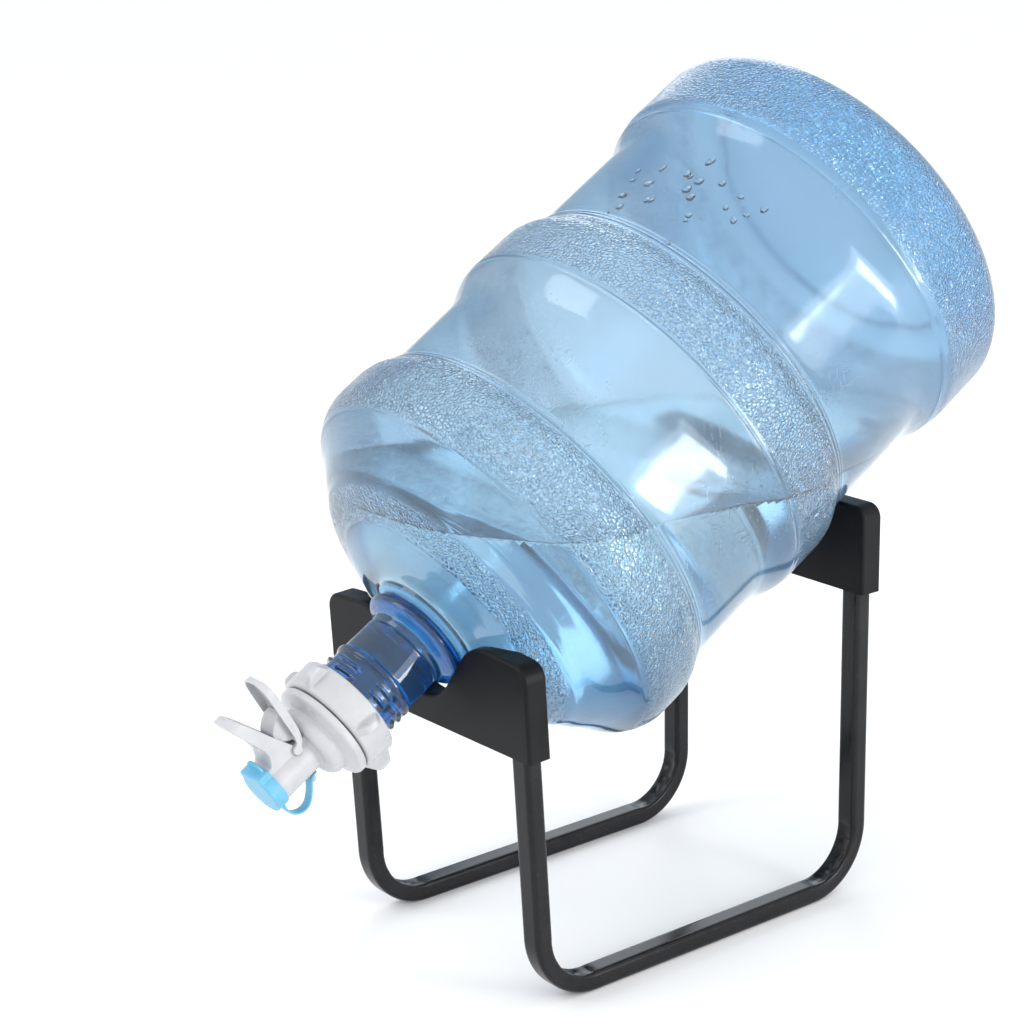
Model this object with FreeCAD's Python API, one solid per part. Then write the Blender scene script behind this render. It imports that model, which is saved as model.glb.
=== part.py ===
import FreeCAD, Part
import math
import os

# Tilted water jug on a two-rail stand with a lever valve. Millimetres, +Z up.
# x = 0 is the mid-plane, -Y is the spout side, z = 0 is the floor.
# Origin: centre of the bounding box in plan, on the floor.

V = FreeCAD.Vector

# ---------------------------------------------------------------- stand
Y_SHIFT = 15.51           # moves the whole object so that its box is centred on the origin
FRAME_X = 84.0           # centre planes of the side frames
TUBE_W = 15.0            # tube size along X
TUBE_T = 12.0            # tube size in the plane of the frame
TUBE_CORNER = 3.0
TUBE_WALL = 1.2
LEG_Y = 128.6            # where leg and rail centrelines meet
LEAN_FRONT = 2.6         # degrees, forward
LEAN_REAR = 0.5          # degrees, backward
BEND_R = 39.0            # centreline radius of the bends
FRONT_TUBE_TOP = 207.0
REAR_TUBE_TOP = 248.0

CRADLE_HALF = 97.0
CRADLE_T = 16.0
CRADLE_WALL = 1.8
FRONT_BOTTOM = 159.0
FRONT_TOP = 219.5
REAR_BOTTOM = 200.5
REAR_TOP = 256.8
EDGE_R = 2.2
# neck notch of the front cradle: lowest z, floor radius, flank angle, flank length, shoulder radius, outward fall of the top
NOTCH = (176.0, 25.0, 52.0, 27.2, 30.9, 4.0)
SEAT_GAP = 0.45          # jug to cradle

# ---------------------------------------------------------------- jug
TILT = 31.0              # jug axis above the horizontal, mouth low and forward
AXIS_Y = -151.5          # point of the jug axis at the collar
AXIS_Z = 210.8
WALL = 1.5
WATER_Z = 290.5
THREAD_PITCH = 6.0
LUG_AT = 15.0            # degrees, first column of thread lugs
LUG_SPAN = 30.0

# outer profile of the jug: (distance along the axis from the collar, radius)
OUTER = [(-66.0, 24.8), (-65.3, 25.6), (-63.5, 26.0), (-37.4, 26.0), (-36.8, 26.9), (-36.0, 27.5), (-33.8, 27.5),
         (-33.0, 26.9), (-32.2, 26.0), (-11.2, 26.0), (-10.4, 25.5), (-9.4, 25.5), (-8.6, 26.0), (-5.2, 26.4),
         (-4.0, 28.8), (-2.8, 32.0), (-1.2, 33.9), (0.8, 34.5), (2.8, 34.1), (4.4, 33.0), (5.8, 32.2), (7.0, 33.2),
         (8.2, 35.4), (9.6, 36.4), (11.2, 37.0), (12.2, 40.0), (13.0, 45.5), (13.8, 51.0), (15.0, 57.0), (17.2, 64.5),
         (20.0, 71.6), (23.0, 79.2), (26.0, 86.4), (28.8, 92.8), (31.0, 97.4), (32.4, 98.6), (34.0, 99.8),
         (36.4, 103.0), (40.0, 107.6), (44.0, 112.0), (47.0, 115.4), (50.0, 119.0), (53.0, 123.2), (55.8, 127.0),
         (58.6, 129.8), (62.0, 131.8), (66.0, 133.6), (70.0, 134.7), (74.0, 135.0), (90.0, 135.0), (95.0, 134.2),
         (100.0, 132.2), (104.0, 129.8), (108.0, 127.7), (112.0, 126.6), (118.0, 126.2), (140.0, 126.2),
         (162.0, 126.3), (168.0, 126.9), (173.0, 128.2), (178.0, 130.4), (183.0, 132.8), (187.0, 134.4),
         (190.5, 135.0), (222.0, 135.0), (227.0, 134.0), (232.0, 131.6), (238.0, 128.4), (243.0, 126.6),
         (248.0, 126.0), (282.0, 126.0), (316.0, 126.0), (322.0, 126.6), (328.0, 128.6), (334.0, 131.4),
         (340.0, 134.0), (345.0, 135.0), (384.0, 135.0), (388.5, 133.6), (393.0, 130.8), (397.0, 127.0),
         (401.0, 121.8), (404.6, 115.8), (407.4, 111.0), (409.4, 106.6), (410.0, 103.0), (409.2, 99.0), (406.0, 95.0),
         (401.6, 91.6), (398.6, 86.0), (397.0, 76.0), (396.2, 60.0), (396.0, 0.0)]
# inner profile of the neck, up to where the wall becomes an even skin
NECK_IN = [(-66.0, 22.8), (-65.0, 22.2), (-30.0, 22.2), (-6.0, 22.6), (2.0, 25.6), (7.0, 29.8), (11.0, 35.2),
           (13.4, 41.0), (14.6, 46.0), (15.4, 51.6), (16.6, 57.8), (18.7, 64.9)]
NECK_IN_TO = 20.0        # axial position where the even skin starts

# ---------------------------------------------------------------- valve, heights along the outward axis
NUT_REAR = 54.4
NUT_FRONT = 73.4
NUT_R = 34.0
NUT_BORE = 29.4
NUT_LIP_R = 24.6
NUT_LIP_W = 70.8
GRIPS = 5
GRIP_FIRST = 8.9         # degrees
GRIP_HALF = 2.5          # half-thickness of a grip fin
# grip fin seen from the side: (radius, distance along the axis)
GRIP = [(32.0, 55.8), (34.0, 55.8), (38.6, 58.6), (39.8, 59.6), (40.5, 60.9), (40.7, 62.4), (40.7, 65.4), (40.4, 67.0), (39.6, 68.3),
        (38.4, 69.2), (33.8, 72.2), (32.0, 72.2)]
PLATE_W = (68.0, 70.5)
PLATE_R = 29.0
SEAT_R = 3.2
STUB_R = 5.8
STUB_BORE = 4.5
STUB_END = 35.0
DISC_W = 74.3
DISC_R = 32.0
DOME_R = 23.0
DOME_TOP = 90.9
TUBE_R = 13.0
TUBE_BORE = 10.8
TUBE_END = 126.6
FLAT_HALF = 8.8          # half-width of the squared side of the spout
PIVOT = (10.5, 99.0)     # trigger axis: (height towards the levers, distance along the axis)
AXLE_R = 1.5
TRIGGER_HALF = 11.2
TRIGGER_TIP = 60.0
LEVER_HALF = 10.2
LEVER_ROOT = 8.8         # half-width where the fixed lever passes between the trigger's ears
LEVER_HOLLOW = 7.2
CAP_W = (119.9, 128.4)
CAP_R = 14.2


def to_world(shape):
    """From the jug's own frame (x, lever side, outward axis) to the object's frame."""
    s = shape.copy()
    s.Placement = FreeCAD.Placement(V(0, AXIS_Y + Y_SHIFT, AXIS_Z),
                                    FreeCAD.Rotation(V(1, 0, 0), 90.0 + TILT)).multiply(s.Placement)
    return s


def one_solid(shape, name):
    solids = shape.Solids
    if len(solids) != 1:
        solids = sorted(solids, key=lambda q: -q.Volume)
        print("note:", name, "has", len(solids), "solids", [round(q.Volume, 2) for q in solids])
    s = solids[0]
    if not s.isValid():
        print("note:", name, "is not valid")
    return s


def wire2(points, plane):
    """Closed polygon; plane 'rz' is (radius, z), 'yz' is (y, z), 'xy' is (x, y), 'xz' is (x, z)."""
    if plane == "rz":
        p = [V(a, 0, b) for a, b in points]
    elif plane == "yz":
        p = [V(0, a, b) for a, b in points]
    elif plane == "xz":
        p = [V(a, 0, b) for a, b in points]
    else:
        p = [V(a, b, 0) for a, b in points]
    return Part.makePolygon(p + [p[0]])


def revolved(points):
    f = Part.Face(wire2(points, "rz"))
    s = f.revolve(V(0, 0, 0), V(0, 0, 1), 360)
    s = s.Solids[0] if s.Solids else Part.Solid(s)
    if s.Volume < 0:
        s.reverse()
    return s


def side_plate(points, half):
    """Profile in the lever plane, of the given half-width along X."""
    f = Part.Face(wire2(points, "yz"))
    s = f.extrude(V(2 * half, 0, 0))
    s.translate(V(-half, 0, 0))
    return s


def cyl(r, z0, z1, x=0.0, y=0.0):
    return Part.makeCylinder(r, z1 - z0, V(x, y, z0), V(0, 0, 1))


def cyl_x(r, x0, x1, y, z):
    return Part.makeCylinder(r, x1 - x0, V(x0, y, z), V(1, 0, 0))


def block(x0, x1, y0, y1, z0, z1):
    return Part.makeBox(x1 - x0, y1 - y0, z1 - z0, V(x0, y0, z0))


def smooth(points, n):
    """Points of a centripetal-like smooth curve through the given points."""
    out = []
    p = [(2 * points[0][0] - points[1][0], 2 * points[0][1] - points[1][1])] + list(points) + \
        [(2 * points[-1][0] - points[-2][0], 2 * points[-1][1] - points[-2][1])]
    for i in range(1, len(p) - 2):
        for k in range(n):
            t = k / n
            q = []
            for c in (0, 1):
                a, b, d, e = p[i - 1][c], p[i][c], p[i + 1][c], p[i + 2][c]
                q.append(0.5 * (2 * b + (d - a) * t + (2 * a - 5 * b + 4 * d - e) * t * t + (3 * b - a - 3 * d + e) * t ** 3))
            out.append(tuple(q))
    out.append(tuple(points[-1]))
    return out


def offset_profile(points, dist):
    """The open profile moved by dist to its right-hand side (towards the jug's inside when positive)."""
    out = []
    n = len(points)
    for i in range(n):
        dirs = []
        for a, b in ((i - 1, i), (i, i + 1)):
            if a < 0 or b >= n:
                continue
            dx, dy = points[b][0] - points[a][0], points[b][1] - points[a][1]
            length = math.hypot(dx, dy)
            dirs.append((dx / length, dy / length))
        nx = sum(d[1] for d in dirs) / len(dirs)
        ny = -sum(d[0] for d in dirs) / len(dirs)
        m = nx * nx + ny * ny
        out.append((points[i][0] + nx / m * dist, points[i][1] + ny / m * dist))
    return out


def rounded_rect(w, h, r, z=0.0):
    """Face of a w (X) by h (Y) rectangle with round corners, at height z."""
    a, b = w / 2, h / 2
    c = r * math.sqrt(0.5)
    e = []
    corners = [(a, b, 1, 1), (-a, b, -1, 1), (-a, -b, -1, -1), (a, -b, 1, -1)]
    pts = []
    for x, y, sx, sy in corners:
        cx, cy = x - sx * r, y - sy * r
        start = V(cx + sx * r, cy, z)
        end = V(cx, cy + sy * r, z)
        mid = V(cx + sx * c, cy + sy * c, z)
        if sx * sy > 0:
            pts.append((start, mid, end))
        else:
            pts.append((end, mid, start))
    for i, (s, m, f) in enumerate(pts):
        e.append(Part.Arc(s, m, f).toShape())
        e.append(Part.LineSegment(f, pts[(i + 1) % 4][0]).toShape())
    return Part.Face(Part.Wire(e))


# ================================================================ stand
def tube_run(w, t, r, extra):
    """Solid along the frame's centreline, in the plane x = 0. extra lengthens the leg ends."""
    rail_z = TUBE_T / 2
    sec = rounded_rect(w, t, r)
    parts = []
    turn_f, turn_r = 90.0 - LEAN_FRONT, 90.0 - LEAN_REAR
    tf = BEND_R * math.tan(math.radians(turn_f / 2))
    tr = BEND_R * math.tan(math.radians(turn_r / 2))
    y0, y1 = -LEG_Y + tf, LEG_Y - tr
    rail = sec.extrude(V(0, 0, y1 - y0))
    rail.Placement = FreeCAD.Placement(V(0, y1, rail_z), FreeCAD.Rotation(V(1, 0, 0), 90))
    parts.append(rail)
    for yt, turn, sign, lean, top in ((y0, turn_f, -1, LEAN_FRONT, FRONT_TUBE_TOP), (y1, turn_r, 1, LEAN_REAR, REAR_TUBE_TOP)):
        face = sec.copy()
        face.Placement = FreeCAD.Placement(V(0, yt, rail_z), FreeCAD.Rotation(V(1, 0, 0), 90))
        bend = face.revolve(V(0, yt, rail_z + BEND_R), V(1, 0, 0), sign * turn)
        bend = bend.Solids[0] if bend.Solids else Part.Solid(bend)
        if bend.Volume < 0:
            bend.reverse()
        parts.append(bend)
        a = math.radians(lean)
        dy, dz = sign * math.sin(a), math.cos(a)
        t = tf if sign < 0 else tr
        sy, sz = sign * LEG_Y + dy * t, rail_z + dz * t
        length = (top + extra - sz) / dz
        leg = sec.extrude(V(0, 0, length))
        leg.Placement = FreeCAD.Placement(V(0, sy, sz), FreeCAD.Rotation(V(1, 0, 0), -sign * lean))
        parts.append(leg)
    s = parts[0].fuse(parts[1:]).removeSplitter()
    return s


def side_frame(x):
    outer = tube_run(TUBE_W, TUBE_T, TUBE_CORNER, 0.0)
    inner = tube_run(TUBE_W - 2 * TUBE_WALL, TUBE_T - 2 * TUBE_WALL, TUBE_CORNER - TUBE_WALL, 5.0)
    s = one_solid(outer.cut(inner), "side frame")
    s.translate(V(x, Y_SHIFT, 0))
    return s


def round_corner(p, c, q, r):
    """Tangent points and middle of an arc of radius r at corner c between the directions to p and to q."""
    def unit(a, b):
        d = math.hypot(b[0] - a[0], b[1] - a[1])
        return ((b[0] - a[0]) / d, (b[1] - a[1]) / d)

    u, v = unit(c, p), unit(c, q)
    half = math.acos(u[0] * v[0] + u[1] * v[1]) / 2
    t = r / math.tan(half)
    bis = (u[0] + v[0], u[1] + v[1])
    n = math.hypot(*bis)
    k = r / math.sin(half) - r
    return ((c[0] + u[0] * t, c[1] + u[1] * t), (c[0] + bis[0] / n * k, c[1] + bis[1] / n * k), (c[0] + v[0] * t, c[1] + v[1] * t))


def cradle_face(half, bottom, top, corner, notch):
    """Front view outline of a cradle. notch is None for a flat top, or
    (lowest z, floor radius, flank angle, flank length, shoulder radius, outward fall of the top)."""
    e = []

    def line(p, q):
        e.append(Part.LineSegment(V(p[0], 0, p[1]), V(q[0], 0, q[1])).toShape())

    def arc(p, m, q):
        e.append(Part.Arc(V(p[0], 0, p[1]), V(m[0], 0, m[1]), V(q[0], 0, q[1])).toShape())

    def flip_x(p):
        return (-p[0], p[1])

    if notch is None:
        end = (0.0, top)
        corner_pt = (half, top)
    else:
        z0, r1, alpha, length, r2, beta = notch
        al, be = math.radians(alpha), math.radians(beta)
        floor = (r1 * math.sin(al), z0 + r1 * (1 - math.cos(al)))
        flank = (floor[0] + length * math.cos(al), floor[1] + length * math.sin(al))
        cx, cz = flank[0] + r2 * math.sin(al), flank[1] - r2 * math.cos(al)

        def shoulder(t):
            return (cx - r2 * math.sin(t), cz + r2 * math.cos(t))

        end = shoulder(-be)
        corner_pt = (half, end[1] - (half - end[0]) * math.tan(be))
    a, m, b = round_corner((half, bottom), corner_pt, end, corner)
    line((-half, bottom), (half, bottom))
    line((half, bottom), a)
    arc(a, m, b)
    if notch is None:
        line(b, flip_x(b))
    else:
        line(b, end)
        arc(end, shoulder((al - be) / 2), flank)
        line(flank, floor)
        arc(floor, (0.0, z0), flip_x(floor))
        line(flip_x(floor), flip_x(flank))
        arc(flip_x(flank), flip_x(shoulder((al - be) / 2)), flip_x(end))
        line(flip_x(end), flip_x(b))
    arc(flip_x(b), flip_x(m), flip_x(a))
    line(flip_x(a), (-half, bottom))
    return Part.Face(Part.Wire(e))


def cradle(name, half, bottom, top, corner, notch, notch_in, lean, y_mid, tube_top, jug_cut, jug_cut_in):
    """Hollow cross-piece, open below, with ribs that grip the tube ends."""
    outer = cradle_face(half, bottom, top, corner, notch).extrude(V(0, CRADLE_T, 0))
    outer.translate(V(0, -CRADLE_T / 2, 0))
    edges = []
    for ed in outer.Edges:
        ys = [v.Y for v in ed.Vertexes]
        zs = [v.Z for v in ed.Vertexes]
        if max(ys) - min(ys) > 1.0:
            continue
        if min(zs) < bottom + 0.1 and max(zs) < bottom + 0.1:
            continue
        edges.append(ed)
    try:
        outer = outer.makeFillet(EDGE_R, edges)
    except Exception as err:
        print("note:", name, "edge rounding left out:", err)
    w = CRADLE_WALL
    inner = cradle_face(half - w, bottom - 1.0, top - w, max(corner - w, 1.0), notch_in).extrude(V(0, CRADLE_T - 2 * w, 0))
    inner.translate(V(0, -CRADLE_T / 2 + w, 0))
    # ribs beside the tube ends, and stops over them
    ribs = []
    for sx in (-1, 1):
        for xa, xb in ((FRAME_X - TUBE_W / 2 - 2.0, FRAME_X - TUBE_W / 2 - 0.2), (FRAME_X + TUBE_W / 2 + 0.2, FRAME_X + TUBE_W / 2 + 2.0)):
            ribs.append(block(min(sx * xa, sx * xb), max(sx * xa, sx * xb), -20, 20, bottom + 0.6, top + 5))
        ribs.append(block(min(sx * 76.0, sx * 92.0), max(sx * 76.0, sx * 92.0), -20, 20, tube_top + 0.4, tube_top + 2.2))
    cavity = inner.cut(ribs[0].fuse(ribs[1:]))
    rot = FreeCAD.Rotation(V(1, 0, 0), lean)
    place = FreeCAD.Placement(V(0, y_mid + Y_SHIFT, 0), FreeCAD.Rotation())
    centre = FreeCAD.Placement(V(0, 0, bottom), rot).multiply(FreeCAD.Placement(V(0, 0, -bottom), FreeCAD.Rotation()))
    full = place.multiply(centre)
    for q in (outer, cavity):
        q.Placement = full.multiply(q.Placement)
    cavity = cavity.cut(jug_cut_in)
    s = outer.cut(jug_cut).cut(cavity)
    return one_solid(s, name)


# ================================================================ jug
def flip(points):
    """(axial, radius) of the jug to (radius, z) of the valve frame, whose z runs out of the mouth."""
    return [(r, -s) for s, r in points]


def jug_solid(grow):
    """The jug's outer form without its hollow, grown by an even amount."""
    p = offset_profile(OUTER[:-1], -grow) if grow else list(OUTER[:-1])
    p = [(p[0][0] - grow, 0.0), (p[0][0] - grow, p[0][1])] + p[1:] + [(OUTER[-1][0] + grow, 0.0)]
    return to_world(revolved(flip(p)))


def inner_points(gap):
    """The jug's inner form as a closed region on the axis, gap inside the wall."""
    skin = offset_profile(OUTER, WALL + gap)
    skin = [q for q, o in zip(skin, OUTER) if q[0] > NECK_IN_TO]
    neck = offset_profile(NECK_IN, gap) if gap else list(NECK_IN)
    pts = neck + skin
    last = pts[-1]
    pts[-1] = (OUTER[-1][0] - WALL - gap, 0.0)
    return pts


def thread_lug(r0, r1, w_mid, thick, phi, span):
    """A short piece of thread: a ring sector about the axis."""
    b = thick * 0.28
    prof = [(r0, w_mid - thick / 2), (r1, w_mid - thick / 2 + b), (r1, w_mid + thick / 2 - b), (r0, w_mid + thick / 2)]
    f = Part.Face(wire2(prof, "rz"))
    s = f.revolve(V(0, 0, 0), V(0, 0, 1), span)
    s = s.Solids[0] if s.Solids else Part.Solid(s)
    if s.Volume < 0:
        s.reverse()
    s.rotate(V(0, 0, 0), V(0, 0, 1), phi - span / 2)
    return s


def jug_shell():
    inner = inner_points(0.0)
    region = list(OUTER) + list(reversed(inner))
    shell = revolved(flip(region))
    lugs = []
    # neck thread: six short lugs a turn, right-handed about the outward axis
    step = THREAD_PITCH / 6.0
    k = -4
    while 60.0 + k * step < 64.3:
        k += 1
    for i in range(-24, k):
        w = 60.0 + i * step
        if w < 40.5:
            continue
        lugs.append(thread_lug(25.6, 28.4, w, 2.2, LUG_AT + 60.0 * i, LUG_SPAN))
    shell = shell.fuse(lugs)
    return to_world(one_solid(shell, "jug shell"))


def water_solid():
    pts = inner_points(0.25)
    pts = [(-65.4, 0.0), (-65.4, pts[1][1])] + pts[1:]
    body = revolved(flip(pts))
    body = body.cut(cyl(STUB_R + 1.0, STUB_END - 0.8, 80.0))
    body = to_world(body)
    body = body.common(block(-200, 200, -400, 400, 0, WATER_Z))
    return one_solid(body, "water")


# ================================================================ valve
def collar_nut():
    outer = [(NUT_LIP_R, NUT_FRONT), (31.4, NUT_FRONT), (32.8, NUT_FRONT - 0.4), (33.7, NUT_FRONT - 1.2), (NUT_R, NUT_FRONT - 2.4),
             (NUT_R, NUT_REAR + 1.0), (NUT_R - 0.3, NUT_REAR + 0.3), (NUT_R - 1.0, NUT_REAR)]
    body = revolved([(0, NUT_REAR)] + list(reversed(outer[1:])) + [(0, NUT_FRONT)])
    fins = []
    for i in range(GRIPS):
        fin = Part.Face(wire2(GRIP, "xz")).extrude(V(0, 2 * GRIP_HALF, 0))
        fin.translate(V(0, -GRIP_HALF, 0))
        # the two long edges of the crest are round
        crest = [ed for ed in fin.Edges if abs(ed.Vertexes[0].Y - ed.Vertexes[-1].Y) < 0.01 and min(v.X for v in ed.Vertexes) > 33.0]
        fin = fin.makeFillet(1.3, crest)
        fin.rotate(V(0, 0, 0), V(0, 0, 1), GRIP_FIRST + 360.0 / GRIPS * i)
        fins.append(fin)
    body = body.fuse(fins)
    bore = cyl(NUT_BORE, NUT_REAR - 1, NUT_LIP_W).fuse(cyl(NUT_LIP_R, NUT_LIP_W - 1, NUT_FRONT + 1))
    bore = bore.fuse(revolved([(0, NUT_REAR - 1), (NUT_BORE + 1.6, NUT_REAR - 1), (NUT_BORE + 0.6, NUT_REAR), (NUT_BORE - 0.4, NUT_REAR + 1.0), (0, NUT_REAR + 1.0)]))
    body = body.cut(bore)
    step = THREAD_PITCH / 6.0
    lugs = []
    for i in range(7):
        lugs.append(thread_lug(29.8, 26.6, 57.0 + i * step, 2.2, LUG_AT + 60.0 * i, LUG_SPAN))
    body = body.fuse(lugs)
    return to_world(one_solid(body, "collar nut"))


def neck_gasket():
    return to_world(revolved([(21.6, 66.1), (28.4, 66.1), (28.4, 67.9), (21.6, 67.9)]))


def inlet_plate():
    w0, w1 = PLATE_W
    s = revolved([(SEAT_R, w0 - 0.5), (SEAT_R + 0.6, w0 - 0.5), (SEAT_R + 0.9, w0), (STUB_BORE, w0), (STUB_BORE, STUB_END + 0.4),
                  (STUB_BORE + 0.4, STUB_END), (STUB_R - 0.4, STUB_END), (STUB_R, STUB_END + 0.4), (STUB_R, w0 - 1.2), (STUB_R + 1.2, w0),
                  (PLATE_R - 0.4, w0), (PLATE_R, w0 + 0.4), (PLATE_R, w1 - 0.4), (PLATE_R - 0.4, w1), (21.9, w1), (21.9, w1 + 2.0),
                  (21.5, w1 + 2.4), (19.9, w1 + 2.4), (19.6, w1 + 2.1), (19.6, w1), (SEAT_R, w1)])
    return to_world(one_solid(s, "inlet plate"))


def spring_retainer():
    w0, w1 = STUB_END + 0.6, STUB_END + 3.0
    ring = revolved([(3.3, w0), (STUB_BORE - 0.04, w0), (STUB_BORE - 0.04, w1), (3.3, w1)])
    bars = [block(-3.6, 3.6, -0.6, 0.6, w0, w1)]
    for a in (60, 120):
        b = bars[0].copy()
        b.rotate(V(0, 0, 0), V(0, 0, 1), a)
        bars.append(b)
    boss = cyl(1.2, w0, w1)
    s = ring.fuse(bars + [boss])
    return to_world(one_solid(s, "spring retainer"))


def return_spring():
    wire, r = 0.6, 3.3
    z0, z1 = STUB_END + 3.0 + wire / 2 + 0.02, 64.6 - wire / 2 - 0.02
    turns = 9.5
    helix = Part.makeHelix((z1 - z0) / turns, z1 - z0, r)
    helix.translate(V(0, 0, z0))
    start = helix.Edges[0].valueAt(helix.Edges[0].FirstParameter)
    tangent = helix.Edges[0].tangentAt(helix.Edges[0].FirstParameter)
    prof = Part.Wire(Part.makeCircle(wire / 2, start, tangent))
    s = Part.Wire(helix).makePipeShell([prof], True, True)
    s = s.Solids[0] if s.Solids else Part.Solid(s)
    if s.Volume < 0:
        s.reverse()
    return to_world(s)


def plunger():
    w_top = 97.2
    rod = revolved([(0, 58.5), (1.2, 58.5), (1.5, 58.9), (1.5, 64.6), (3.9, 64.6), (3.9, 66.2), (1.6, 66.2), (1.6, w_top - 1.4),
                    (3.0, w_top - 1.2), (3.0, w_top - 0.2), (2.8, w_top), (0, w_top)])
    fins = []
    for a in (0, 90):
        b = block(-3.05, 3.05, -0.5, 0.5, 68.4, 76.0)
        b.rotate(V(0, 0, 0), V(0, 0, 1), a)
        fins.append(b)
    return to_world(one_solid(rod.fuse(fins), "plunger"))


def plunger_seal():
    return to_world(revolved([(1.64, 66.24), (4.1, 66.24), (4.1, 67.3), (3.9, 67.45), (1.64, 67.45)]))


def valve_body():
    # flange, dome and spout as one turned form
    out = [(22.0, 70.5), (24.2, 70.5), (24.2, DISC_W), (31.0, DISC_W), (31.7, DISC_W + 0.3), (DISC_R, DISC_W + 1.0),
           (DISC_R, DISC_W + 3.4), (31.6, DISC_W + 4.4), (30.6, DISC_W + 5.1), (24.6, 81.6), (23.5, 82.1), (DOME_R, 82.9), (DOME_R, 85.2)]
    cx, cw, rr = DOME_R - 5.7, 85.2, 5.7
    for i in range(1, 9):
        a = math.radians(90.0 * i / 8)
        out.append((cx + rr * math.cos(a), cw + rr * math.sin(a)))
    out += [(TUBE_R + 1.3, DOME_TOP), (TUBE_R + 0.5, DOME_TOP + 0.35), (TUBE_R, DOME_TOP + 1.3), (TUBE_R, TUBE_END - 0.4),
            (TUBE_R - 0.4, TUBE_END), (TUBE_BORE, TUBE_END), (TUBE_BORE, 89.2), (20.4, 84.0), (20.4, 74.6), (22.0, 73.2)]
    body = revolved(out)
    # squared lever side of the spout
    pad = block(-FLAT_HALF, FLAT_HALF, 3.0, TUBE_R, DOME_TOP - 0.5, TUBE_END - 0.4)
    pad = pad.makeFillet(1.0, [ed for ed in pad.Edges if abs(ed.Vertexes[0].Z - ed.Vertexes[-1].Z) > 10 and ed.Vertexes[0].Y > 12])
    body = body.fuse(pad)
    body = body.cut(cyl(TUBE_BORE, 89.3, TUBE_END + 1))
    # fixed lever: shell of a bowed plate with side walls, open towards the trigger
    top = smooth([(12.0, 118.6), (14.2, 116.6), (17.5, 115.1), (21.0, 114.6), (26.0, 115.4), (32.0, 117.4), (38.0, 119.8),
                  (44.0, 122.1), (49.0, 123.8), (52.5, 124.6), (54.4, 124.2)], 4)
    low = [(55.3, 122.6), (54.6, 120.4), (52.0, 118.4), (46.5, 115.3), (40.7, 112.3), (34.0, 109.2), (28.0, 106.4), (21.0, 102.8),
           (16.0, 100.3), (12.0, 98.4)]
    plate = side_plate(top + low, LEVER_HALF)
    side = [(LEVER_ROOT, 8.0), (LEVER_ROOT, 17.0), (LEVER_HALF, 27.0), (LEVER_HALF, 43.5)]
    rim = Part.makePolygon([V(-x, y, 90) for x, y in reversed(side)] + [V(x, y, 90) for x, y in side])
    plan = Part.Face(wire_from(rim, plan_end(LEVER_HALF, 43.5, 55.3, 90))).extrude(V(0, 0, 60))
    plate = plate.common(plan)
    hollow_top = [(u, w - 1.9) for u, w in top if 15.0 < u < 50.5]
    hollow = side_plate([(15.0, 95.0)] + [(15.0, hollow_top[0][1])] + hollow_top + [(51.5, 119.0), (51.5, 95.0)], LEVER_HOLLOW)
    h_plan = plan_solid(LEVER_HOLLOW, 8.0, 43.5, 53.4, 80, 140)
    plate = plate.cut(hollow.common(h_plan))
    # shallow oblong recess on the thumb side
    rec = block(-2.2, 2.2, 25.0, 35.5, 112, 122).fuse([cyl(2.2, 112, 122, 0, 25.0), cyl(2.2, 112, 122, 0, 35.5)])
    shell_top = side_plate([(u, w + 0.5) for u, w in top if 20 < u < 40] + [(u, w - 0.7) for u, w in reversed(top) if 20 < u < 40], 5)
    plate = plate.cut(rec.common(shell_top))
    plate = plate.cut(cyl(TUBE_BORE, 89.3, TUBE_END + 1))
    body = body.fuse(plate)
    # slot for the trigger's inner finger
    body = body.cut(block(-2.9, 2.9, 8.0, 15.6, 94.6, 103.0))
    # pockets for the round ends of the trigger's ears, with the stub axles in them
    u, w = PIVOT
    for sx in (-1, 1):
        body = body.cut(cyl_x(3.35, min(sx * FLAT_HALF, sx * 16.0), max(sx * FLAT_HALF, sx * 16.0), u, w))
        body = body.fuse(cyl_x(AXLE_R, min(sx * 8.0, sx * 10.4), max(sx * 8.0, sx * 10.4), u, w))
    # strap pin with its ball head, opposite the levers
    pin = Part.makeCylinder(1.2, 6.2, V(0, -12.2, 98.0), V(0, -1, 0))
    ball = Part.makeSphere(1.9, V(0, -19.2, 98.0))
    body = body.fuse([pin, ball])
    return to_world(one_solid(body, "valve body"))


def plan_end(half, u0, u1, z):
    """Rounded end of a lever seen along the spout: a smooth blunt curve from one side to the other."""
    n = 2.4
    pts = []
    for i in range(0, 25):
        a = math.pi * i / 24.0
        cx, sy = math.cos(a), math.sin(a)
        x = -half * math.copysign(abs(cx) ** (2 / n), cx)
        y = u0 + (u1 - u0) * (abs(sy) ** (2 / n))
        pts.append(V(x, y, z))
    return Part.makePolygon(pts)


def wire_from(*shapes):
    edges = []
    for s in shapes:
        edges += s.Edges
    return Part.Wire(Part.__sortEdges__(edges))


def plan_solid(half, u_start, u0, u1, z0, z1):
    w = wire_from(Part.makePolygon([V(-half, u0, z0), V(-half, u_start, z0), V(half, u_start, z0), V(half, u0, z0)]), plan_end(half, u0, u1, z0))
    return Part.Face(w).extrude(V(0, 0, z1 - z0))


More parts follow.
